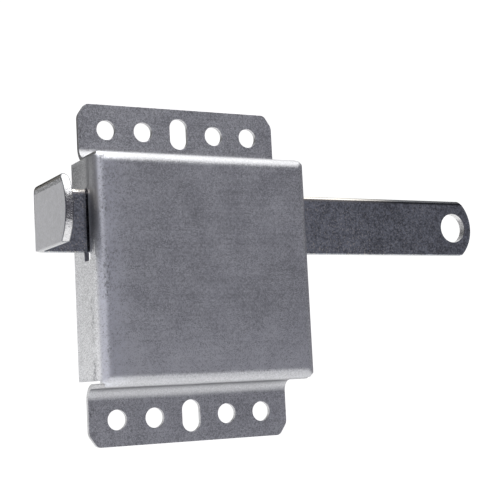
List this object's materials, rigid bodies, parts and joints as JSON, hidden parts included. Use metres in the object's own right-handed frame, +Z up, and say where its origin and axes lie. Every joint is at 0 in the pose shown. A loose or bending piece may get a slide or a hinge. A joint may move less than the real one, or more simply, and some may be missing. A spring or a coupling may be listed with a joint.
{
  "type": "roll-up door slide lock",
  "caption": "Surface-mounted slide lock for a roll-up door: folded steel housing with flanges, a spring-held flat bolt with a bent finger tab and a padlock hole.",
  "frame": {"origin": "middle of the housing's footprint on the door's inner face, which is also the middle of the mounting hole pattern", "axes": "+X along the bolt towards its padlock end, +Y into the door, +Z up along the housing's height"},
  "size_m": [0.2027, 0.051, 0.1348],
  "materials": {
    "galvanised_sheet": "galvanised, satin, fine mottled grain",
    "zinc_plated_bar": "zinc plated rolled bar, satin with fine speckle",
    "rivet_steel": "plain zinc plated",
    "spring_steel": "tempered spring steel, smooth"
  },
  "bodies": {
    "lock_body": {"housing": "galvanised_sheet", "hold_spring": "spring_steel", "spring_rivets": "rivet_steel"},
    "bolt": {"slide_bolt": "zinc_plated_bar", "stop_rivet": "rivet_steel"}
  },
  "joints": [
    {"name": "bolt_slide", "type": "slide", "parent": "lock_body", "child": "bolt", "axis": [1, 0, 0], "range_m": [-0.06, 0.0175]}
  ]
}
